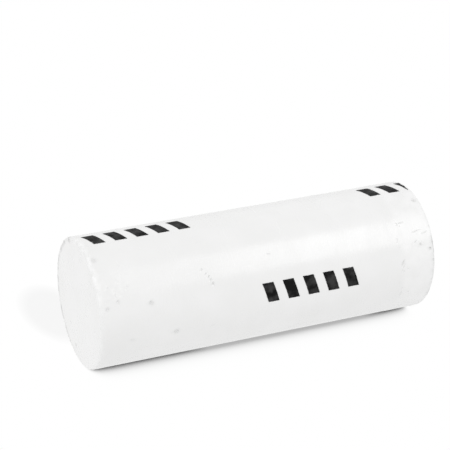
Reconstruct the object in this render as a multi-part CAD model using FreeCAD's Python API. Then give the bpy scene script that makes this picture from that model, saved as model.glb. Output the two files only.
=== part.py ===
import FreeCAD, Part
import math
import os

# A round stick of buffing compound: fine abrasive bound in wax, cast as one
# solid bar with square ends. It stands on its far end, the way it can be put
# down without rolling away. +Z runs up the bar's axis, and the origin is the
# middle of the end that it stands on. Millimetres.

# Driving sizes
BAR_DIAMETER = 40.0
BAR_LENGTH = 110.0
RIM_RADIUS = 0.8

# The waxy rim of each end is worn to a small quarter round.
BAR_RADIUS = BAR_DIAMETER / 2
FACE_RADIUS = BAR_RADIUS - RIM_RADIUS
SIDE_BOTTOM = RIM_RADIUS
SIDE_TOP = BAR_LENGTH - RIM_RADIUS


def point(radius, height):
    """A point of the half section, at a radius from the axis and a height above the floor."""
    return FreeCAD.Vector(radius, 0, height)


def rim_arc(side_height, way):
    """The quarter round from the side to an end face; way is +1 at the top and -1 at the foot."""
    reach = RIM_RADIUS * math.sin(math.pi / 4)
    return Part.Arc(
        point(BAR_RADIUS, side_height),
        point(FACE_RADIUS + reach, side_height + way * reach),
        point(FACE_RADIUS, side_height + way * RIM_RADIUS),
    ).toShape()


def half_section():
    """The closed outline beside the bar's axis that turns into the whole bar."""
    foot = Part.makeLine(point(0, 0), point(FACE_RADIUS, 0))
    side = Part.makeLine(point(BAR_RADIUS, SIDE_BOTTOM), point(BAR_RADIUS, SIDE_TOP))
    top = Part.makeLine(point(FACE_RADIUS, BAR_LENGTH), point(0, BAR_LENGTH))
    axis = Part.makeLine(point(0, BAR_LENGTH), point(0, 0))
    return Part.Wire([foot, rim_arc(SIDE_BOTTOM, -1), side, rim_arc(SIDE_TOP, 1), top, axis])


def compound_bar():
    """The bar, turned in one piece about its own axis."""
    z_axis = FreeCAD.Vector(0, 0, 1)
    return Part.Face(half_section()).revolve(FreeCAD.Vector(0, 0, 0), z_axis, 360)


PIECES = {"compound_bar": compound_bar}

os.makedirs("parts", exist_ok=True)
for name, make in PIECES.items():
    shape = make()
    shape.exportStep(f"parts/{name}.step")
    box = shape.optimalBoundingBox()
    print(f"{name}: {box.XLength:.2f} x {box.YLength:.2f} x {box.ZLength:.2f} mm,")
    print(f"  {shape.Volume / 1000:.2f} cm3, valid {shape.isValid()}, solids {len(shape.Solids)}")
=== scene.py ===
import logging
import math
import random
from collections.abc import Callable
from dataclasses import dataclass, field
from enum import Enum

import bmesh
import bpy
from mathutils import Matrix, Vector, kdtree


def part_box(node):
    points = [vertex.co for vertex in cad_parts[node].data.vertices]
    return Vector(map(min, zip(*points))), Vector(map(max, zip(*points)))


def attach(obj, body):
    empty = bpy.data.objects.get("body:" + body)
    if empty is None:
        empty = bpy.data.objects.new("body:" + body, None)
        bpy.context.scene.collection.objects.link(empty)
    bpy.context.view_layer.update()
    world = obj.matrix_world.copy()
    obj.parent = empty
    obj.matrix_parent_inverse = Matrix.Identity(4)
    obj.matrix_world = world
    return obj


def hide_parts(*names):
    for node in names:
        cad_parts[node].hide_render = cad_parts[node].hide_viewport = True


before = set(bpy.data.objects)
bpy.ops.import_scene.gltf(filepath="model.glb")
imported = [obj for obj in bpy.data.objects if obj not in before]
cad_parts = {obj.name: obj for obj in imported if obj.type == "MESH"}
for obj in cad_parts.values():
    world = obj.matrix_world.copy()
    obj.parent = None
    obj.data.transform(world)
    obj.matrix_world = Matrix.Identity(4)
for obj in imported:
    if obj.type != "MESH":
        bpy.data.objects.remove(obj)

LOG = logging.getLogger("compound_bar")
NODE = "compound_bar"
BODY = "root"
MM = 0.001
SMOOTH_BELOW = math.radians(34)


class MeshPart(Enum):
    """The kind of mesh element that a selection in edit mode is made of."""

    VERTEX = "VERT"
    EDGE = "EDGE"
    FACE = "FACE"


class Wear(Enum):
    """The kinds of small damage on the wax, each with its own outline."""

    PIT = "pit"
    NICK = "nick"
    CHIP = "chip"


class LampUse(Enum):
    """What a lamp is for: shading alone, gloss alone or both."""

    SHADE = "shade"
    GLOSS = "gloss"
    BOTH = "both"


def clamp(share: float) -> float:
    """Keep a share between 0 and 1."""
    return max(0.0, min(1.0, share))


def deselect_all() -> None:
    """Clear the object selection, so that an operator acts only on what is picked next."""
    bpy.ops.object.select_all(action="DESELECT")


def make_active(piece: bpy.types.Object) -> None:
    """Select one object alone and make it the active one.

    Args:
        piece: the object that the next operators work on.
    """
    deselect_all()
    piece.select_set(True)
    bpy.context.view_layer.objects.active = piece


def enter_edit(piece: bpy.types.Object) -> None:
    """Open one object in edit mode with nothing selected.

    Args:
        piece: the object to edit.
    """
    make_active(piece)
    bpy.ops.object.mode_set(mode="EDIT")
    bpy.ops.mesh.select_all(action="DESELECT")


def leave_edit() -> None:
    """Go back to object mode."""
    bpy.ops.object.mode_set(mode="OBJECT")


def middle_of(element: bmesh.types.BMFace | bmesh.types.BMEdge | bmesh.types.BMVert) -> Vector:
    """Find the middle of a face, an edge or a vertex.

    Args:
        element: an element of the mesh in edit mode.

    Returns:
        Its middle, in the object's coordinates.
    """
    if isinstance(element, bmesh.types.BMFace):
        return element.calc_center_median()
    if isinstance(element, bmesh.types.BMEdge):
        return (element.verts[0].co + element.verts[1].co) / 2
    return element.co


def pick(piece: bpy.types.Object, part: MeshPart, wanted: Callable[..., bool]) -> int:
    """Select the elements of the open mesh that a test accepts, and nothing else.

    Args:
        piece: the object in edit mode.
        part: the kind of element to select.
        wanted: a test that takes one element.

    Returns:
        How many elements were selected.
    """
    bpy.ops.mesh.select_mode(type=part.value)
    bpy.ops.mesh.select_all(action="DESELECT")
    mesh = bmesh.from_edit_mesh(piece.data)
    rows = {MeshPart.VERTEX: mesh.verts, MeshPart.EDGE: mesh.edges, MeshPart.FACE: mesh.faces}
    chosen = [element for element in rows[part] if wanted(element)]
    for element in chosen:
        element.select_set(True)
    mesh.select_flush_mode()
    bmesh.update_edit_mesh(piece.data)
    return len(chosen)


def settle(piece: bpy.types.Object) -> None:
    """Move an object's place, turn and scale into its mesh."""
    make_active(piece)
    bpy.ops.object.transform_apply(location=True, rotation=True, scale=True)


def apply_modifier(piece: bpy.types.Object, name: str) -> None:
    """Apply one modifier of an object, by its name."""
    make_active(piece)
    bpy.ops.object.modifier_apply(modifier=name)


def turn_faces_out(piece: bpy.types.Object) -> None:
    """Turn every face of a closed mesh outwards.

    Args:
        piece: the object whose faces are turned.
    """
    enter_edit(piece)
    bpy.ops.mesh.select_all(action="SELECT")
    bpy.ops.mesh.normals_make_consistent(inside=False)
    leave_edit()


def join(pieces: list[bpy.types.Object]) -> bpy.types.Object:
    """Join objects into one.

    Args:
        pieces: the objects, of which the first takes in the others.

    Returns:
        The object that is left.
    """
    deselect_all()
    for piece in pieces:
        piece.select_set(True)
    bpy.context.view_layer.objects.active = pieces[0]
    bpy.ops.object.join()
    return bpy.context.object


@dataclass(frozen=True)
class LyingPose:
    """How the bar of the photograph, which lies on its side, maps onto the bar that stands here.

    Angles round the bar start from the level direction towards the camera, and 90 degrees is the top
    of the lying bar. Distances along it start from the shown end, which is the upper end here.
    """

    length: float
    radius: float
    away_deg: float = 65.1

    @property
    def away(self) -> Vector:
        """The level direction across the lying bar that leads away from the camera."""
        turn = math.radians(self.away_deg)
        return Vector((math.cos(turn), math.sin(turn), 0))

    @property
    def up(self) -> Vector:
        """The direction that is up for the lying bar."""
        return self.away.cross(Vector((0, 0, 1)))

    def turned(self, along: float, away: float, up: float) -> Vector:
        """Turn shares along, away from and above the lying bar into a direction here."""
        return Vector((0, 0, -along)) + self.away * away + self.up * up

    def outward(self, round_deg: float) -> Vector:
        """Give the unit vector straight out of the side at an angle round the lying bar."""
        turn = math.radians(round_deg)
        return self.turned(0, -math.cos(turn), math.sin(turn))

    def on_side(self, round_deg: float, from_end: float, proud: float = 0.0) -> Vector:
        """Give the point at an angle round the bar and a distance from the shown end, in metres."""
        height = Vector((0, 0, self.length - from_end))
        return self.outward(round_deg) * (self.radius + proud) + height


@dataclass
class Blemish:
    """One small hollow in the wax, by its place on the lying bar and its size in millimetres.

    A hollow with from_axis_mm lies on the shown end face, at that distance from the axis.
    """

    kind: Wear
    round_deg: float
    from_end_mm: float
    wide_mm: float
    long_mm: float
    deep_mm: float
    slant_deg: float = 0.0
    from_axis_mm: float | None = None

    def placed(self, pose: LyingPose, sunk: float) -> tuple[Vector, Vector, Vector]:
        """Find where the hollow lies.

        Args:
            pose: the bar's place and size.
            sunk: how far below the surface the wanted point is, in metres.

        Returns:
            The point, the outward direction and the direction in the surface that slants start from.
        """
        out, up = pose.outward(self.round_deg), Vector((0, 0, 1))
        if self.from_axis_mm is None:
            return pose.on_side(self.round_deg, self.from_end_mm * MM, -sunk), out, -up
        return out * self.from_axis_mm * MM + up * (pose.length - sunk), up, out


def hollows(kind: Wear, *rows: tuple[float, ...]) -> tuple[Blemish, ...]:
    """Turn rows of numbers, in the order of Blemish's fields, into hollows of one kind."""
    return tuple(Blemish(kind, *row) for row in rows)


# The hollows that the picture shows, each at its place.
SEEN_BLEMISHES = (
    *hollows(
        Wear.PIT,
        (61.7, 1.8, 1.5, 1.7, 0.17), (22.2, 5.7, 0.94, 1.0, 0.15), (17.8, 2.3, 1.0, 1.19, 0.18),
        (16.3, 15.7, 1.35, 1.4, 0.24), (-14.5, 23.3, 1.5, 1.5, 0.21), (-14.8, 9.7, 1.3, 1.2, 0.1),
        (65.4, 108.0, 1.3, 1.4, 0.24), (23.1, 105.3, 0.88, 1.0, 0.17), (39.0, 54.2, 0.75, 0.88, 0.08),
        (-104.5, 0.0, 0.94, 1.12, 0.2, 0.0, 16.1), (-130.0, 0.0, 0.88, 1.0, 0.07, 0.0, 13.1),
    ),
    *hollows(
        Wear.NICK,
        (36.1, 32.7, 0.55, 1.1, 0.12, 40.0), (31.9, 33.7, 0.5, 1.1, 0.12, 35.0),
        (29.3, 34.5, 0.5, 0.99, 0.16, 20.0), (26.3, 34.9, 0.55, 1.21, 0.18, 25.0),
        (22.5, 35.5, 0.72, 1.43, 0.26, 10.0), (61.2, 33.9, 0.55, 2.86, 0.05, 80.0),
        (-16.0, 35.0, 0.55, 2.42, 0.05, 12.0), (9.4, 98.6, 0.66, 3.08, 0.23, 30.0),
        (31.0, 97.6, 0.5, 3.74, 0.08, 6.0), (45.0, 100.3, 0.55, 2.2, 0.14, 86.0),
        (35.3, 104.6, 0.5, 3.96, 0.13, 82.0), (32.8, 107.3, 0.44, 2.42, 0.12, 78.0),
        (26.0, 103.6, 0.44, 1.43, 0.1, 40.0), (29.0, 5.2, 0.39, 3.52, 0.07, 10.0),
        (35.0, 3.4, 0.33, 1.98, 0.07, 70.0), (33.0, 9.2, 0.39, 2.42, 0.07, 25.0),
    ),
    *hollows(
        Wear.CHIP,
        (17.9, 108.4, 0.9, 1.2, 0.28), (7.0, 109.5, 1.0, 1.3, 0.35), (24.0, 109.6, 0.8, 1.6, 0.28),
        (38.0, 109.7, 0.8, 1.2, 0.24), (-12.0, 109.6, 0.8, 1.5, 0.24), (-29.7, 109.8, 0.8, 1.4, 0.28),
        (-38.0, 0.3, 0.9, 1.4, 0.24), (-47.0, 0.2, 0.8, 1.2, 0.24), (12.0, 0.2, 0.8, 1.3, 0.21),
        (46.0, 0.3, 0.7, 1.2, 0.12), (78.0, 0.3, 0.7, 1.5, 0.12),
    ),
)


@dataclass
class CompoundStick:
    """The bar itself: a cast stick of wax and abrasive, with worn rims and small hollows."""

    pose: LyingPose
    rim: float = 0.8 * MM
    rim_steps: int = 4
    sides: int = 288
    rows: int = 130
    collar: float = 98.0 * MM
    collar_step: float = 0.06 * MM
    ring_strip: float = 2.0 * MM
    smear_reach: float = 11.0 * MM
    smear_turns: tuple[float, float] = (5.0, 60.0)
    ring_turns: tuple[float, float] = (-60.0, 110.0)
    # How far, in rims, the crumbs and the painted highlight reach from the shown end's edge.
    bead_rims: float = 1.9
    # How far, in rims, the painted shade on the two rims reaches.
    back_shade_rims: float = 2.6
    foot_shade_rims: float = 1.3
    # Where the painted shade in the hollows starts, how much deeper it darkens fully, and how far beyond each
    # hollow it spreads.
    hollow_shade_from: float = 0.07 * MM
    hollow_shade_over: float = 0.2 * MM
    hollow_shade_reach: float = 1.8
    specks: int = 13
    scattered: int = 60
    seed: int = 11
    piece: bpy.types.Object | None = field(default=None, init=False)

    def build(self) -> bpy.types.Object:
        """Model the stick from a cylinder.

        Returns:
            The finished mesh object.
        """
        self.piece = self.add_body()
        self.round_rims()
        self.divide_side()
        self.fill_ends()
        self.refine()
        self.weather()
        self.cut_hollows()
        self.mark_wear()
        make_active(self.piece)
        bpy.ops.object.shade_smooth_by_angle(angle=SMOOTH_BELOW)
        return self.piece

    def add_body(self) -> bpy.types.Object:
        """Add the plain cylinder at the stick's size and place.

        Returns:
            The new object.
        """
        deselect_all()
        bpy.ops.mesh.primitive_cylinder_add(
            vertices=self.sides,
            radius=self.pose.radius,
            depth=self.pose.length,
            end_fill_type="NGON",
            location=(0, 0, self.pose.length / 2),
        )
        piece = bpy.context.object
        piece.name = "wax_stick"
        settle(piece)
        return piece

    def round_rims(self) -> None:
        """Bevel the circle of edges round each end into a small quarter round."""
        enter_edit(self.piece)
        pick(self.piece, MeshPart.EDGE, lambda edge: abs(edge.verts[0].co.z - edge.verts[1].co.z) < MM)
        bpy.ops.mesh.bevel(offset=self.rim, segments=self.rim_steps, profile=0.5, affect="EDGES")
        leave_edit()

    def divide_side(self) -> None:
        """Cut the long side faces into even rows."""
        enter_edit(self.piece)
        long_edge = self.pose.length / 2
        pick(self.piece, MeshPart.EDGE, lambda edge: abs(edge.verts[0].co.z - edge.verts[1].co.z) > long_edge)
        bpy.ops.mesh.subdivide(number_cuts=self.rows - 1)
        leave_edit()

    def fill_ends(self) -> None:
        """Replace the one large face of each end by an even grid."""
        face_radius = self.pose.radius - self.rim
        for height in (0.0, self.pose.length):
            enter_edit(self.piece)
            pick(
                self.piece,
                MeshPart.FACE,
                lambda face, height=height: len(face.verts) == self.sides
                and abs(middle_of(face).z - height) < self.rim / 4,
            )
            bpy.ops.mesh.delete(type="ONLY_FACE")
            pick(
                self.piece,
                MeshPart.EDGE,
                lambda edge, height=height: edge.is_boundary
                and abs(middle_of(edge).z - height) < self.rim / 4
                and middle_of(edge).to_2d().length < face_radius + self.rim / 4,
            )
            bpy.ops.mesh.fill_grid(span=self.sides // 4)
            leave_edit()
        turn_faces_out(self.piece)

    def round_place(self, point: Vector) -> tuple[float, float]:
        """Give a point's angle round the bar, in degrees, and its distance from the shown end."""
        turn = math.atan2(point.dot(self.pose.up), -point.dot(self.pose.away))
        return math.degrees(turn), self.pose.length - point.z

    def refine(self) -> None:
        """Halve the faces where the smears by the shown end and the ring by the other end need it."""
        enter_edit(self.piece)
        pick(self.piece, MeshPart.FACE, self.needs_detail)
        bpy.ops.mesh.subdivide(number_cuts=1)
        leave_edit()

    def needs_detail(self, face: bmesh.types.BMFace) -> bool:
        """Tell whether a face of the side lies in one of the two places that refine halves.

        Args:
            face: a face of the stick.

        Returns:
            Whether it is to be halved.
        """
        middle = middle_of(face)
        turn, from_end = self.round_place(middle)
        low, high = self.smear_turns
        smeared = self.rim < from_end < self.smear_reach and low < turn < high
        low, high = self.ring_turns
        ringed = abs(from_end - self.collar - self.ring_strip) < 5 * MM and low < turn < high
        return middle.to_2d().length >= self.pose.radius - self.rim / 2 and (smeared or ringed)

    def group(self, name: str, weight: Callable[[Vector], float]) -> bpy.types.VertexGroup:
        """Make a vertex group whose weights follow a rule of place.

        Args:
            name: the group's name.
            weight: gives the weight of a point, from 0 to 1.

        Returns:
            The new group.
        """
        made = self.piece.vertex_groups.new(name=name)
        for vertex in self.piece.data.vertices:
            share = weight(vertex.co)
            if share > 0:
                made.add([vertex.index], share, "REPLACE")
        return made

    def roughen(self, name: str, basis: str, grain: float, depth: float, group: str, middle: float) -> None:
        """Push the surface in and out along its normals by a clouded pattern.

        Args:
            name: a name for the pattern and its modifier.
            basis: the kind of noise.
            grain: the size of the pattern's lumps, in metres.
            depth: the whole height of the relief, in metres.
            group: the vertex group that it acts on.
            middle: the value of the pattern that leaves the surface where it is.
        """
        pattern = bpy.data.textures.new(name, type="CLOUDS")
        pattern.noise_basis = basis
        pattern.noise_scale = grain
        pattern.noise_depth = 2
        push = self.piece.modifiers.new(name, "DISPLACE")
        push.texture = pattern
        push.texture_coords = "LOCAL"
        push.direction = "NORMAL"
        push.mid_level = middle
        push.strength = depth
        push.vertex_group = group
        apply_modifier(self.piece, name)

    def wander(self, turn: float) -> float:
        """Tell how far the ring by the far end strays along the bar, at an angle round it."""
        return 0.5 * MM * math.sin(math.radians(3 * turn)) + 0.3 * MM * math.sin(math.radians(11 * turn))

    def weather(self) -> None:
        """Give the stick the small unevenness of a cast and handled piece of wax."""
        length, radius, rim = self.pose.length, self.pose.radius, self.rim

        def near_rim(point: Vector) -> float:
            """Weight 1 on a rim's quarter round, falling to 0 just beyond it."""
            over_side, over_face = min(point.z, length - point.z) - rim, radius - rim - point.to_2d().length
            return clamp(1 - max(over_side, over_face, 0) / rim)

        def on_end(point: Vector) -> float:
            """Weight 1 on the upper end face, falling to 0 at its rim."""
            return clamp((radius - rim - point.to_2d().length) / rim) if point.z >= length - rim / 4 else 0.0

        def all_over(point: Vector) -> float:
            """Weight 1 on the side, falling to 0 at both ends."""
            return clamp(min(point.z, length - point.z) / (4 * rim))

        def beyond_ring(point: Vector) -> float:
            """Weight 1 on the side beyond the ring by the far end, 0 before it."""
            turn, from_end = self.round_place(point)
            return clamp((from_end - self.collar - self.wander(turn)) / (0.4 * MM)) * (point.z > rim)

        def by_ring(point: Vector) -> float:
            """Weight 1 in the rough strip just beyond the ring."""
            return max(0.0, 1 - abs(self.round_place(point)[1] - self.collar - self.ring_strip) / (3 * MM))

        def smeared(point: Vector) -> float:
            """Weight 1 where wax crumbs are smeared on the side by the shown end."""
            turn, from_end = self.round_place(point)
            across, along = 1 - abs(turn - 32) / 22, 1 - abs(from_end - 5 * MM) / (6 * MM)
            return clamp(2 * across) * clamp(2 * along) * (from_end > rim)

        self.group("rim", near_rim)
        self.group("end", on_end)
        self.group("side", all_over)
        self.group("collar", beyond_ring)
        self.group("ring", by_ring)
        self.group("smear_and_rim_shade", smeared)
        self.roughen("slow_waves", "ORIGINAL_PERLIN", 14 * MM, 0.05 * MM, "side", 0.5)
        self.roughen("hand_marks", "ORIGINAL_PERLIN", 3.5 * MM, 0.02 * MM, "side", 0.5)
        self.roughen("rim_crumble", "VORONOI_F1", 1.5 * MM, 0.26 * MM, "rim", 0.5)
        self.roughen("ring_crumble", "VORONOI_F2_F1", 1.5 * MM, 0.09 * MM, "ring", 0.2)
        self.roughen("smears", "VORONOI_CRACKLE", 2.6 * MM, 0.09 * MM, "smear_and_rim_shade", 0.9)
        step = self.piece.modifiers.new("collar_step", "DISPLACE")
        step.strength = self.collar_step
        step.mid_level = 0
        step.vertex_group = "collar"
        apply_modifier(self.piece, "collar_step")
        self.roughen("end_waves", "ORIGINAL_PERLIN", 6 * MM, 0.08 * MM, "end", 0.75)
        self.roughen("end_grain", "VORONOI_F2_F1", 1.4 * MM, 0.012 * MM, "end", 0.6)
        for vertex in self.piece.data.vertices:
            vertex.co.z = min(max(vertex.co.z, 0.0), length + 0.1 * MM)

    def add_hollow(self, mark: Blemish, number: int) -> bpy.types.Object:
        """Add the uneven blob that cuts one hollow.

        Args:
            mark: the hollow's kind, place and size.
            number: the hollow's number, which seeds its uneven outline.

        Returns:
            The blob, a closed mesh.
        """
        deep = mark.deep_mm * MM
        bulk = {Wear.PIT: 2.0, Wear.NICK: 2.0, Wear.CHIP: 1.3}[mark.kind] * deep
        middle, out, down = mark.placed(self.pose, deep - bulk)
        across = out.cross(down)
        slant = math.radians(mark.slant_deg)
        long_way = across * math.cos(slant) + down * math.sin(slant)
        wide_way = out.cross(long_way)
        wide, long = mark.wide_mm * MM / 2, mark.long_mm * MM / 2
        spread = 1 / math.sqrt(1 - ((bulk - deep) / bulk) ** 2)
        turn = Matrix((wide_way, long_way, wide_way.cross(long_way))).transposed().to_euler()
        deselect_all()
        bpy.ops.mesh.primitive_ico_sphere_add(
            subdivisions=2,
            radius=1,
            location=middle,
            rotation=turn,
            scale=(wide * spread, long * spread, bulk),
        )
        blob = bpy.context.object
        settle(blob)
        enter_edit(blob)
        bpy.ops.mesh.select_all(action="SELECT")
        bpy.ops.transform.vertex_random(offset=min(wide, long, deep) * 0.35, uniform=1, normal=0, seed=number)
        leave_edit()
        return blob

    def scatter(self) -> list[Blemish]:
        """Choose the small hollows that any such stick has all round.

        Returns:
            Pits and nicks spread over the side that the picture hides.
        """
        draw = random.Random(self.seed)
        marks = []
        for _ in range(self.scattered):
            kind = draw.choice((Wear.PIT, Wear.PIT, Wear.NICK))
            size = draw.uniform(0.35, 0.9)
            stretch = draw.uniform(2.0, 4.0) if kind is Wear.NICK else draw.uniform(0.8, 1.4)
            around = draw.uniform(112, 298)
            depth = size * draw.uniform(0.2, 0.45)
            along = draw.uniform(3, self.pose.length / MM - 3)
            marks.append(Blemish(kind, around, along, size, size * stretch, depth, draw.uniform(-90, 90)))
        return marks

    def ring_specks(self) -> list[Blemish]:
        """Choose the row of tiny pits along the ring by the far end.

        Returns:
            The pits.
        """
        draw = random.Random(self.seed + 1)
        specks = []
        for _ in range(self.specks):
            around, size = draw.uniform(-26, 46), draw.uniform(0.4, 0.75)
            along = self.collar / MM + draw.gauss(1.6, 1.3)
            specks.append(Blemish(Wear.PIT, around, along, size, size * draw.uniform(0.8, 2.0), size * 0.2))
        return specks

    def cut_hollows(self) -> None:
        """Cut every hollow out of the stick in one boolean difference."""
        marks = [*SEEN_BLEMISHES, *self.ring_specks(), *self.scatter()]
        blobs = [self.add_hollow(mark, number) for number, mark in enumerate(marks)]
        cutter = join(blobs)
        cut = self.piece.modifiers.new("hollows", "BOOLEAN")
        cut.operation = "DIFFERENCE"
        cut.solver = "EXACT"
        cut.use_self = True
        cut.object = cutter
        apply_modifier(self.piece, "hollows")
        bpy.data.objects.remove(cutter)

    def mark_wear(self) -> None:
        """Store, for the finish, each vertex's share in the painted shade of the hollows, the worn rims and
        their painted highlight, the painted shade on the rims, and the collar.
        """
        mesh = self.piece.data
        names = ("hollow", "worn_and_highlight", "rim_shade", "paler")
        for name in names:
            mesh.attributes.new(name, "FLOAT", "POINT")
        masks = {name: mesh.attributes[name] for name in names}
        for vertex in mesh.vertices:
            for name, share in self.wear_at(vertex.co).items():
                masks[name].data[vertex.index].value = clamp(share)
        self.shade_hollows(masks["hollow"])

    def wear_at(self, point: Vector) -> dict[str, float]:
        """Work out the wear, the painted shade and the painted highlight at a point.

        Args:
            point: a point of the surface.

        Returns:
            The share of each mask, by its name, not yet kept from 0 to 1.
        """
        length, rim = self.pose.length, self.rim
        turn, from_end = self.round_place(point)
        over_side, over_face = min(point.z, length - point.z), self.pose.radius - point.to_2d().length
        from_rim = max(over_side, over_face) / rim
        at_rim = over_side < 1.5 * rim and over_face < 1.5 * rim
        sunk = 0.0 if at_rim else min(over_side, over_face)
        shown_end = from_end < length / 2
        # The shown end's rim is painted brighter where it turns up towards the lamps: a painted highlight over
        # its crumbs.
        bead_and_highlight_share = 0.2 + 0.7 * clamp((turn - 20) / 20) if turn < 95 else 0.2
        # Painted shade on the shown end's rim on its far side, and on the far end's rim round the side that
        # faces the camera.
        back = self.back_shade_rims - from_rim if shown_end and abs(turn) > 105 else 0.0
        foot = self.foot_shade_rims - from_rim if not shown_end and abs(turn + 5) < 34 else 0.0
        return {
            # Painted shade in the hollows, darker the deeper they are.
            "hollow": (sunk - self.hollow_shade_from) / self.hollow_shade_over,
            "worn_and_highlight": (self.bead_rims - from_rim) * (bead_and_highlight_share if shown_end else 0.3),
            "rim_shade": back + foot,
            "paler": (from_end - self.collar) / self.ring_strip,
        }

    def shade_hollows(self, mask: bpy.types.FloatAttribute) -> None:
        """Spread the painted shade of each seen hollow a little beyond its edge, more for deeper hollows.

        Args:
            mask: the mask of painted shade in the hollows, one value for each vertex.
        """
        vertices = self.piece.data.vertices
        places = kdtree.KDTree(len(vertices))
        for vertex in vertices:
            places.insert(vertex.co, vertex.index)
        places.balance()
        for mark in SEEN_BLEMISHES:
            if mark.kind is Wear.CHIP and mark.from_end_mm < 1:
                continue
            middle, _, _ = mark.placed(self.pose, 0.0)
            reach = min(mark.wide_mm, mark.long_mm) / 2 * MM
            strength = min(1.0, mark.deep_mm * MM / self.hollow_shade_over)
            for _, index, gap in places.find_range(middle, self.hollow_shade_reach * reach):
                share = strength * min(1.0, (self.hollow_shade_reach - gap / reach) / 1.1)
                mask.data[index].value = max(mask.data[index].value, share)


@dataclass
class PrintRow:
    """One printed group of slanted bars, at its place on the lying bar."""

    name: str
    round_deg: float
    start_mm: float


@dataclass
class PrintedMarks:
    """The generic ink marks on the side: rows of slanted bars that wrap onto the wax."""

    pose: LyingPose
    tall: float = 6.8 * MM
    bar: float = 3.6 * MM
    pitch: float = 6.7 * MM
    slant: float = 1.9 * MM
    count: int = 5
    film: float = 0.05 * MM
    proud: float = 0.02 * MM
    rows: tuple[PrintRow, ...] = (
        PrintRow("print_front", 5.8, 51.9),
        PrintRow("print_top", 89.5, 3.4),
        PrintRow("print_top_cut", 89.5, 94.6),
        PrintRow("print_under", 270.0, 3.4),
        PrintRow("print_under_cut", 270.0, 94.6),
        PrintRow("print_back", 180.0, 51.9),
    )
    pieces: list[bpy.types.Object] = field(default_factory=list, init=False)

    def build(self, stick: bpy.types.Object) -> list[bpy.types.Object]:
        """Model every row.

        Args:
            stick: the bar that the ink lies on.

        Returns:
            The rows, one object each.
        """
        self.pieces = [self.build_row(row, stick) for row in self.rows]
        return self.pieces

    def build_row(self, row: PrintRow, stick: bpy.types.Object) -> bpy.types.Object:
        """Model one row of slanted bars and wrap it onto the side.

        Args:
            row: the row's name and place.
            stick: the bar that the ink lies on.

        Returns:
            The row as one thin closed mesh.
        """
        out = self.pose.outward(row.round_deg)
        down = Vector((0, 0, -1))
        upright = out.cross(down) * -1
        bars = []
        for number in range(self.count):
            along = row.start_mm * MM + self.bar / 2 + number * self.pitch
            if along - self.bar / 2 > self.pose.length - 1.5 * MM:
                continue
            middle = self.pose.on_side(row.round_deg, along, 2 * MM)
            turn = Matrix((down, upright, down.cross(upright))).transposed().to_euler()
            deselect_all()
            bpy.ops.mesh.primitive_plane_add(size=1, location=middle, rotation=turn)
            mark = bpy.context.object
            mark.scale = (self.bar, self.tall, 1)
            settle(mark)
            enter_edit(mark)
            for side in (1, -1):
                pick(mark, MeshPart.VERTEX, lambda vertex: (vertex.co - middle).dot(upright) * side > 0)
                bpy.ops.transform.translate(value=down * side * self.slant / 2)
            bpy.ops.mesh.select_all(action="SELECT")
            bpy.ops.mesh.subdivide(number_cuts=15)
            bpy.ops.transform.vertex_random(offset=0.04 * MM, uniform=1, normal=0, seed=number)
            leave_edit()
            bars.append(mark)
        piece = join(bars)
        piece.name = row.name
        self.trim(piece)
        self.wrap(piece, stick)
        return piece

    def trim(self, piece: bpy.types.Object) -> None:
        """Cut the marks off where the rim's rounding starts.

        Args:
            piece: a row of flat marks.
        """
        enter_edit(piece)
        bpy.ops.mesh.select_all(action="SELECT")
        bpy.ops.mesh.bisect(plane_co=(0, 0, 0.9 * MM), plane_no=(0, 0, 1), clear_inner=True)
        leave_edit()

    def wrap(self, piece: bpy.types.Object, stick: bpy.types.Object) -> None:
        """Lay the flat marks on the side and give the ink film its thickness.

        Args:
            piece: a row of flat marks in front of the side.
            stick: the bar that they are laid on.
        """
        lay = piece.modifiers.new("lay_on", "SHRINKWRAP")
        lay.wrap_method = "NEAREST_SURFACEPOINT"
        lay.wrap_mode = "ABOVE_SURFACE"
        lay.target = stick
        lay.offset = self.proud
        apply_modifier(piece, "lay_on")
        film = piece.modifiers.new("film", "SOLIDIFY")
        film.thickness = self.film
        film.offset = -1
        apply_modifier(piece, "film")
        turn_faces_out(piece)
        make_active(piece)
        bpy.ops.object.shade_smooth_by_angle(angle=SMOOTH_BELOW)


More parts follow.
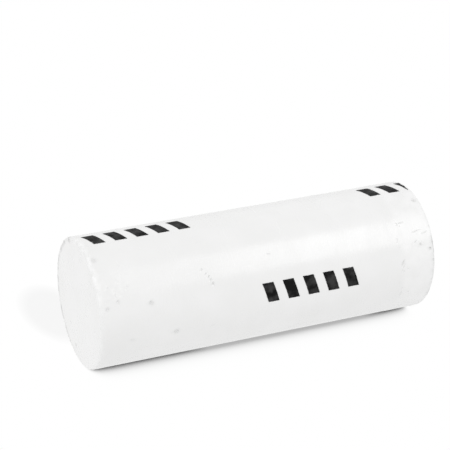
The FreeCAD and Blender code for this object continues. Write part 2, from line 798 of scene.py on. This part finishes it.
@dataclass
class Graph:
    """A thin helper that adds and links shader nodes in one node tree."""

    tree: bpy.types.NodeTree

    def add(self, kind: str, values: dict[str, object] | None = None, **settings: object) -> bpy.types.Node:
        """Add a node.

        Args:
            kind: the node's type name.
            values: the values or links of its inputs, by input name or number.
            settings: the node's own properties.

        Returns:
            The new node.
        """
        node = self.tree.nodes.new(kind)
        for name, value in settings.items():
            setattr(node, name, value)
        for name, value in (values or {}).items():
            self.feed(node, name, value)
        return node

    def feed(self, node: bpy.types.Node, name: str | int, value: object) -> None:
        """Give a node's input a link or a fixed value.

        Args:
            node: the node that has the input.
            name: the input's name or number.
            value: an output socket to link, or a value to set.
        """
        if isinstance(value, bpy.types.NodeSocket):
            self.tree.links.new(value, node.inputs[name])
        else:
            node.inputs[name].default_value = value

    def math(self, operation: str, *values: object) -> bpy.types.NodeSocket:
        """Add a Math node on sockets or numbers and give its output."""
        return self.add("ShaderNodeMath", dict(enumerate(values)), operation=operation).outputs[0]

    def spread(
        self, value: bpy.types.NodeSocket, low: float, high: float, to_low: float, to_high: float
    ) -> bpy.types.NodeSocket:
        """Map the range from low to high onto that from to_low to to_high, and clamp it."""
        numbers = {"Value": value, "From Min": low, "From Max": high, "To Min": to_low, "To Max": to_high}
        return self.add("ShaderNodeMapRange", numbers).outputs["Result"]

    def noise(
        self, place: object, scale: object, detail: float, roughness: float = 0.5
    ) -> bpy.types.NodeSocket:
        """Add a Noise Texture and give its value."""
        numbers = {"Vector": place, "Scale": scale, "Detail": detail, "Roughness": roughness}
        return self.add("ShaderNodeTexNoise", numbers).outputs[0]

    def mix(self, share: object, first: object, second: object) -> bpy.types.NodeSocket:
        """Mix two colours.

        Args:
            share: how much of the second colour there is.
            first: the first colour.
            second: the second colour.

        Returns:
            The mixed colour.
        """
        node = self.add("ShaderNodeMix", data_type="RGBA")
        for name, value in ((0, share), (6, first), (7, second)):
            self.feed(node, name, value)
        return node.outputs[2]


def new_group(name: str, inputs: dict[str, float], outputs: tuple[str, ...]) -> bpy.types.NodeTree:
    """Make an empty shader node group with named sockets.

    Args:
        name: the group's name.
        inputs: its number inputs and their starting values.
        outputs: its number outputs.

    Returns:
        The new group.
    """
    tree = bpy.data.node_groups.new(name, "ShaderNodeTree")
    for label, value in inputs.items():
        socket = tree.interface.new_socket(label, in_out="INPUT", socket_type="NodeSocketFloat")
        socket.default_value = value
    for label in outputs:
        tree.interface.new_socket(label, in_out="OUTPUT", socket_type="NodeSocketFloat")
    return tree


def turned_streaks() -> bpy.types.NodeTree:
    """Make the fine broken lines that run round the stick from its mould and from handling.

    Returns:
        A group that turns Fineness, in lines for each metre, into Lines from 0 to 1.
    """
    tree = new_group("turned_streaks", {"Fineness": 1300.0, "Reach": 110.0}, ("Lines",))
    graph = Graph(tree)
    given = graph.add("NodeGroupInput")
    place = graph.add("ShaderNodeTexCoord").outputs["Object"]
    round_way, long_way = given.outputs["Reach"], given.outputs["Fineness"]
    squeeze = graph.add("ShaderNodeCombineXYZ", {0: round_way, 1: round_way, 2: long_way})
    stretched = graph.add("ShaderNodeVectorMath", {0: place, 1: squeeze.outputs[0]}, operation="MULTIPLY")
    lines = graph.noise(stretched.outputs[0], 1.0, 3.0)
    breaks = graph.noise(place, 130.0, 2.0)
    strong = graph.spread(breaks, 0.42, 0.62, 0.0, 1.0)
    crisp = graph.spread(lines, 0.35, 0.7, 0.0, 1.0)
    graph.add("NodeGroupOutput", {"Lines": graph.math("MULTIPLY", crisp, strong)})
    return tree


def wax_grain() -> bpy.types.NodeTree:
    """Make the fine chalky grain of abrasive bound in wax.

    Returns:
        A group that turns Coarseness, in grains for each metre, into Height and Specks.
    """
    tree = new_group("wax_grain", {"Coarseness": 2600.0, "Rarity": 0.7}, ("Height", "Specks"))
    graph = Graph(tree)
    given = graph.add("NodeGroupInput")
    place = graph.add("ShaderNodeTexCoord").outputs["Object"]
    fine = graph.noise(place, given.outputs["Coarseness"], 3.0)
    broad = graph.noise(place, 420.0, 4.0, 0.65)
    height = graph.math("ADD", graph.math("MULTIPLY", fine, 0.4), graph.math("MULTIPLY", broad, 0.6))
    few = graph.math("SUBTRACT", broad, given.outputs["Rarity"])
    specks = graph.spread(few, 0.0, 0.06, 0.0, 1.0)
    graph.add("NodeGroupOutput", {"Height": height, "Specks": specks})
    return tree


@dataclass(frozen=True)
class WaxFinish:
    """White abrasive bound in wax: satin, faintly mottled, with fine streaks round the stick."""

    light: tuple[float, float, float, float] = (0.868, 0.868, 0.866, 1)
    dull: tuple[float, float, float, float] = (0.842, 0.842, 0.838, 1)
    # Pale chalky colour of the crumbs and the collar, also used for the painted highlight on the shown end's
    # rim.
    chalk_and_highlight: tuple[float, float, float, float] = (0.93, 0.93, 0.93, 1)
    # Dark colour of the specks of dirt, also used for the painted shade in the hollows, on the rims and at
    # grazing angles.
    dirt_and_shade: tuple[float, float, float, float] = (0.6, 0.6, 0.595, 1)
    mottle_scale: float = 90.0
    bead_scale: float = 520.0
    blotch_scale: float = 210.0
    band_share: float = 0.85
    speck_share: float = 0.06
    # Share of painted shade in the hollows.
    hollow_shade_share: float = 0.34
    # Share of painted shade where the side is seen at a grazing angle.
    grazing_shade_share: float = 0.28
    satin: tuple[float, float] = (0.22, 0.36)
    crumbly: float = 0.3
    line_relief: float = 0.09
    relief: float = 0.14
    relief_depth: float = 0.05 * MM
    reflection: float = 0.5

    def build(self, streaks: bpy.types.NodeTree, grain: bpy.types.NodeTree) -> bpy.types.Material:
        """Make the material.

        Args:
            streaks: the group of lines round the stick.
            grain: the group of fine grain.

        Returns:
            The finished material.
        """
        material = bpy.data.materials.new("white_wax_compound")
        material.use_nodes = True
        graph = Graph(material.node_tree)
        shader = material.node_tree.nodes["Principled BSDF"]
        place = graph.add("ShaderNodeTexCoord").outputs["Object"]
        mottle = graph.noise(place, self.mottle_scale, 4.0)
        kinds = ({"Fineness": 650.0, "Reach": 90.0}, {"Fineness": 260.0, "Reach": 25.0})
        lines, bands = (graph.add("ShaderNodeGroup", kind, node_tree=streaks).outputs["Lines"] for kind in kinds)
        grains = graph.add("ShaderNodeGroup", node_tree=grain)
        colour = graph.mix(graph.spread(mottle, 0.35, 0.65, 0.0, 1.0), self.light, self.dull)
        colour = graph.mix(graph.math("MULTIPLY", bands, self.band_share), colour, self.dull)
        # Painted highlight on the shown end's rim, broken up with its chalky crumbs.
        beads = graph.noise(place, self.bead_scale, 2.0)
        rim_beads_and_highlight = graph.math("MULTIPLY", self.mask(graph, "worn_and_highlight"), graph.spread(beads, 0.4, 0.58, 0.1, 1.0))
        colour = graph.mix(rim_beads_and_highlight, colour, self.chalk_and_highlight)
        collar = self.mask(graph, "paler")
        blotches = graph.noise(place, self.blotch_scale, 3.0)
        paled = graph.math("MULTIPLY", collar, graph.spread(blotches, 0.4, 0.6, 0.1, 0.45))
        colour = graph.mix(paled, colour, self.chalk_and_highlight)
        speckled = graph.math("MULTIPLY", grains.outputs["Specks"], self.speck_share)
        colour = graph.mix(speckled, colour, self.dirt_and_shade)
        # Painted shade in and round the hollows.
        hollow_shade = graph.math("MULTIPLY", self.mask(graph, "hollow"), self.hollow_shade_share)
        colour = graph.mix(hollow_shade, colour, self.dirt_and_shade)
        # Painted shade on parts of both rims.
        smear_and_rim_shade = graph.math("MULTIPLY", self.mask(graph, "rim_shade"), graph.spread(beads, 0.4, 0.58, 0.05, 0.85))
        colour = graph.mix(smear_and_rim_shade, colour, self.dirt_and_shade)
        # Painted shade on the side, darker where it is seen at a grazing angle.
        facing = graph.add("ShaderNodeLayerWeight", {"Blend": 0.5}).outputs["Facing"]
        normal = graph.add("ShaderNodeTexCoord").outputs["Normal"]
        upright = graph.math("ABSOLUTE", graph.add("ShaderNodeSeparateXYZ", {0: normal}).outputs["Z"])
        sidelong = graph.spread(facing, 0.62, 0.88, 0.0, self.grazing_shade_share)
        grazing_shade = graph.math("MULTIPLY", sidelong, graph.spread(upright, 0.3, 0.9, 1.0, 0.0))
        colour = graph.mix(grazing_shade, colour, self.dirt_and_shade)
        graph.feed(shader, "Base Color", colour)
        smoothness = graph.spread(lines, 0.0, 1.0, *self.satin)
        collar_part = graph.math("MULTIPLY", paled, self.crumbly)
        crumbly = graph.math("MULTIPLY_ADD", self.mask(graph, "worn_and_highlight"), self.crumbly, collar_part)
        graph.feed(shader, "Roughness", graph.math("ADD", smoothness, crumbly))
        graph.feed(shader, "Specular IOR Level", self.reflection)
        height = graph.math("ADD", graph.math("MULTIPLY", lines, self.line_relief), grains.outputs["Height"])
        bumps = {"Strength": self.relief, "Distance": self.relief_depth, "Height": height}
        graph.feed(shader, "Normal", graph.add("ShaderNodeBump", bumps).outputs[0])
        return material

    def mask(self, graph: Graph, name: str) -> bpy.types.NodeSocket:
        """Read one of the masks that are stored on the stick, from 0 to 1."""
        return graph.add("ShaderNodeAttribute", attribute_name=name).outputs["Fac"]


@dataclass(frozen=True)
class InkFinish:
    """Black printing ink on wax: matte, a little uneven, with pinholes that show the wax."""

    ink: tuple[float, float, float, float] = (0.005, 0.005, 0.005, 1)
    thin: tuple[float, float, float, float] = (0.04, 0.04, 0.04, 1)
    bare: tuple[float, float, float, float] = (0.7, 0.7, 0.7, 1)
    patch_scale: float = 380.0
    matte: tuple[float, float] = (0.55, 0.7)
    relief: float = 0.2
    relief_depth: float = 0.04 * MM
    reflection: float = 0.08

    def build(self, streaks: bpy.types.NodeTree, grain: bpy.types.NodeTree) -> bpy.types.Material:
        """Make the material.

        Args:
            streaks: the group of lines round the stick.
            grain: the group of fine grain.

        Returns:
            The finished material.
        """
        material = bpy.data.materials.new("black_print_ink")
        material.use_nodes = True
        graph = Graph(material.node_tree)
        shader = material.node_tree.nodes["Principled BSDF"]
        lines = graph.add("ShaderNodeGroup", node_tree=streaks)
        grains = graph.add("ShaderNodeGroup", {"Coarseness": 1800.0}, node_tree=grain)
        place = graph.add("ShaderNodeTexCoord").outputs["Object"]
        patches = graph.noise(place, self.patch_scale, 4.0)
        colour = graph.mix(graph.spread(patches, 0.42, 0.66, 0.0, 1.0), self.ink, self.thin)
        colour = graph.mix(grains.outputs["Specks"], colour, self.bare)
        graph.feed(shader, "Base Color", colour)
        graph.feed(shader, "Roughness", graph.spread(lines.outputs["Lines"], 0.0, 1.0, *self.matte))
        graph.feed(shader, "Specular IOR Level", self.reflection)
        bumps = {"Strength": self.relief, "Distance": self.relief_depth, "Height": grains.outputs["Height"]}
        graph.feed(shader, "Normal", graph.add("ShaderNodeBump", bumps).outputs[0])
        return material


@dataclass(frozen=True)
class PaperFinish:
    """White paper that darkens where the bar hides its light, and shows on its front only.

    The share of open sky becomes a brightness that is white in the open and falls off beside the bar.
    A lean is the direction that most light comes from, where that isn't straight above the paper.
    """

    name: str
    steepness: float
    hidden_share: float
    reach: float = 1.0
    gain: float = 1.0
    rays: int = 64
    lean: tuple[float, float, float] | None = None

    def build(self) -> bpy.types.Material:
        """Make the material.

        Returns:
            The finished material.
        """
        material = bpy.data.materials.new(self.name)
        material.use_nodes = True
        graph = Graph(material.node_tree)
        nodes = material.node_tree.nodes
        nodes.remove(nodes["Principled BSDF"])
        front = graph.add("ShaderNodeEmission", {"Color": (1, 1, 1, 1), "Strength": self.brightness(graph)})
        clear = graph.add("ShaderNodeBsdfTransparent")
        behind = graph.add("ShaderNodeNewGeometry").outputs["Backfacing"]
        both = graph.add("ShaderNodeMixShader", {0: behind, 1: front.outputs[0], 2: clear.outputs[0]})
        graph.feed(nodes["Material Output"], "Surface", both.outputs[0])
        return material

    def brightness(self, graph: Graph) -> bpy.types.NodeSocket:
        """Turn the share of open sky into a brightness.

        Args:
            graph: the material's nodes.

        Returns:
            The brightness, 1 in the open.
        """
        sky = graph.add("ShaderNodeAmbientOcclusion", {"Distance": self.reach}, samples=self.rays)
        if self.lean is not None:
            towards = graph.add("ShaderNodeCombineXYZ", dict(enumerate(self.lean)))
            graph.feed(sky, "Normal", towards.outputs[0])
        open_share = graph.math("SUBTRACT", sky.outputs["AO"], self.hidden_share)
        fading = graph.math("EXPONENT", graph.math("MULTIPLY", open_share, -self.steepness))
        whitest = 1 - math.exp(-self.steepness * (1 - self.hidden_share))
        light = graph.math("DIVIDE", graph.math("SUBTRACT", 1.0, fading), whitest)
        light = graph.math("MAXIMUM", graph.math("MULTIPLY", light, self.gain), 0.0)
        return graph.math("MINIMUM", light, 1.0)


@dataclass(frozen=True)
class BackdropFinish(PaperFinish):
    """The sheet's paper, with the contact shadow and the faint cast shade of the lying bar.

    Under the middle of the bar the contact shadow is painted lighter, between two darker stretches. A faint cast
    shade is painted behind the shown end.
    """

    pose: LyingPose = field(kw_only=True)
    darkest: float = 0.1
    leak: float = 0.45
    leak_from: float = 97 * MM
    leak_to: float = 35 * MM
    leak_edge: float = 4 * MM
    shade: float = 0.075
    shade_from_end: float = 4 * MM
    shade_away: float = 36 * MM
    shade_long: float = 11 * MM
    shade_wide: float = 24 * MM

    def brightness(self, graph: Graph) -> bpy.types.NodeSocket:
        """Work out how bright the sheet is.

        Args:
            graph: the material's nodes.

        Returns:
            The brightness, 1 in the open.
        """
        place = graph.add("ShaderNodeTexCoord").outputs["Object"]
        height = graph.add("ShaderNodeSeparateXYZ", {0: place}).outputs["Z"]
        low, high = self.pose.length - self.leak_from, self.pose.length - self.leak_to
        rising = graph.spread(height, low - self.leak_edge, low + self.leak_edge, self.darkest, self.leak)
        falling = graph.spread(height, high - self.leak_edge, high + self.leak_edge, self.leak, self.darkest)
        contact = graph.math("MINIMUM", rising, falling)
        light = graph.math("MAXIMUM", super().brightness(graph), contact)
        pair = {0: place, 1: tuple(self.pose.away)}
        away = graph.add("ShaderNodeVectorMath", pair, operation="DOT_PRODUCT")
        off_middle = graph.math("SUBTRACT", away.outputs["Value"], self.shade_away)
        across = graph.math("DIVIDE", off_middle, self.shade_wide)
        middle = self.pose.length - self.shade_from_end
        along = graph.math("DIVIDE", graph.math("SUBTRACT", height, middle), self.shade_long)
        spread_out = graph.math("ADD", graph.math("POWER", across, 2.0), graph.math("POWER", along, 2.0))
        shaded = graph.spread(spread_out, 0.45, 1.0, self.shade, 0.0)
        return graph.math("MULTIPLY", light, graph.math("SUBTRACT", 1.0, shaded))


@dataclass(frozen=True)
class StudioLamp:
    """One soft lamp, placed by its angle round the lying bar and in metres along and away from its axis."""

    name: str
    use: LampUse
    round_deg: float
    along: float
    away: float
    wide: float
    tall: float
    power: float
    square_on: bool = False


@dataclass
class Studio:
    """The plain set: floor, a sheet of paper beside the bar, soft lamps, a white room and the camera.

    The floor's light leans from the camera's side, so that its shadow falls behind the standing bar.
    """

    pose: LyingPose
    floor_half: float = 1.5
    floor_lean: tuple[float, float, float] = (0.216, -0.925, 0.31)
    paper_half: float = 0.4
    picture_side: int = 450
    focal_px: float = 1663.9
    sensor_mm: float = 36.0
    yaw_deg: float = 23.96
    pitch_deg: float = 23.03
    distance: float = 0.5132
    right_px: float = 22.38
    down_px: float = 47.18
    room: float = 0.91
    lamps: tuple[StudioLamp, ...] = (
        StudioLamp("key_light", LampUse.SHADE, 58.0, 0.27, 0.86, 0.5, 0.5, 0.95),
        StudioLamp("end_light", LampUse.BOTH, 42.5, -0.86, 0.27, 0.16, 0.16, 0.59),
        StudioLamp("gloss_panel", LampUse.GLOSS, 48.0, 0.78, 0.9, 0.7, 0.9, 4.45, square_on=True),
    )

    def build(self) -> None:
        """Set up everything that isn't part of the object."""
        self.light_room()
        self.add_floor()
        self.add_paper()
        for lamp in self.lamps:
            self.add_lamp(lamp)
        self.add_camera()
        bpy.context.scene.view_settings.view_transform = "Standard"

    def light_room(self) -> None:
        """Light the scene evenly from all round, with a white room for the camera and for gloss."""
        world = bpy.data.worlds.new("white_room")
        world.use_nodes = True
        graph = Graph(world.node_tree)
        path = graph.add("ShaderNodeLightPath")
        seen = graph.math("MAXIMUM", path.outputs["Is Camera Ray"], path.outputs["Is Glossy Ray"])
        seen = graph.math("MAXIMUM", seen, path.outputs["Is Transmission Ray"])
        background = world.node_tree.nodes["Background"]
        graph.feed(background, "Color", (1, 1, 1, 1))
        graph.feed(background, "Strength", graph.spread(seen, 0.0, 1.0, self.room, 1.0))
        bpy.context.scene.world = world

    def only_seen(self, piece: bpy.types.Object) -> None:
        """Let only the camera see a stage piece, so that it neither blocks nor throws back light.

        Args:
            piece: the floor or the sheet of paper.
        """
        piece.visible_diffuse = False
        piece.visible_glossy = False
        piece.visible_transmission = False
        piece.visible_shadow = False

    def add_floor(self) -> None:
        """Add the floor that the bar stands on."""
        deselect_all()
        bpy.ops.mesh.primitive_plane_add(size=2 * self.floor_half)
        floor = bpy.context.object
        floor.name = "floor"
        numbers = {"steepness": 6.0, "hidden_share": 0.3, "reach": 0.055, "gain": 1.09}
        finish = PaperFinish("pale_floor", lean=self.floor_lean, **numbers)
        floor.data.materials.append(finish.build())
        self.only_seen(floor)

    def add_paper(self) -> None:
        """Add the sheet that the lying bar of the picture rests on, which stands upright here."""
        up = self.pose.up
        centre = -up * self.pose.radius + Vector((0, 0, self.paper_half))
        turn = up.to_track_quat("Z", "Y").to_euler()
        deselect_all()
        bpy.ops.mesh.primitive_plane_add(size=2 * self.paper_half, location=centre, rotation=turn)
        paper = bpy.context.object
        paper.name = "backdrop"
        settle(paper)
        finish = BackdropFinish("backdrop_paper", steepness=15.7, hidden_share=0.066, pose=self.pose)
        paper.data.materials.append(finish.build())
        self.only_seen(paper)

    def add_lamp(self, lamp: StudioLamp) -> None:
        """Add one soft rectangular lamp that faces the bar.

        Args:
            lamp: the lamp's place, size, power and use.
        """
        centre = Vector((0, 0, self.pose.length / 2))
        out = self.pose.outward(lamp.round_deg) * lamp.away
        offset = out + self.pose.turned(lamp.along, 0, 0)
        facing = (out if lamp.square_on else offset).to_track_quat("Z", "Y").to_euler()
        deselect_all()
        bpy.ops.object.light_add(type="AREA", location=centre + offset, rotation=facing)
        made = bpy.context.object
        made.name = lamp.name
        made.data.shape = "RECTANGLE"
        made.data.size, made.data.size_y = lamp.wide, lamp.tall
        made.data.energy = lamp.power
        made.visible_diffuse = lamp.use is not LampUse.GLOSS
        made.visible_glossy = lamp.use is not LampUse.SHADE

    def add_camera(self) -> None:
        """Put the camera where it sees the bar as the photograph does, turned on its side with the bar."""
        yaw, pitch = math.radians(self.yaw_deg), math.radians(self.pitch_deg)
        forward = self.pose.turned(
            math.cos(pitch) * math.sin(yaw), math.cos(pitch) * math.cos(yaw), -math.sin(pitch)
        )
        right = self.pose.turned(math.cos(yaw), -math.sin(yaw), 0)
        above = right.cross(forward)
        centre = Vector((0, 0, self.pose.length / 2))
        across = right * (self.right_px / self.focal_px) - above * (self.down_px / self.focal_px)
        place = centre - (forward + across) * self.distance
        deselect_all()
        bpy.ops.object.camera_add(location=place)
        camera = bpy.context.object
        camera.name = "camera"
        turn = Matrix((right, above, -forward)).transposed()
        camera.rotation_euler = turn.to_euler()
        camera.data.sensor_width = self.sensor_mm
        camera.data.lens = self.focal_px / self.picture_side * self.sensor_mm
        camera.data.clip_start = 0.01
        bpy.context.scene.camera = camera


def main() -> None:
    """Build the stick, its print and the set, and report each piece."""
    logging.basicConfig(level=logging.INFO, format="%(name)s: %(message)s")
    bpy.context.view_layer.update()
    low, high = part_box(NODE)
    pose = LyingPose(length=high[2] - low[2], radius=(high[0] - low[0]) / 2)

    stick = CompoundStick(pose)
    body = stick.build()
    marks = PrintedMarks(pose)
    rows = marks.build(body)

    streaks, grain = turned_streaks(), wax_grain()
    body.data.materials.clear()
    body.data.materials.append(WaxFinish().build(streaks, grain))
    ink = InkFinish().build(streaks, grain)
    for row in rows:
        row.data.materials.append(ink)

    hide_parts(NODE)
    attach(body, BODY)
    for row in rows:
        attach(row, BODY)
    for piece in (body, *rows):
        piece.data.calc_loop_triangles()
        LOG.info("%s: %d triangles", piece.name, len(piece.data.loop_triangles))

    Studio(pose).build()


if __name__ == "__main__":
    main()
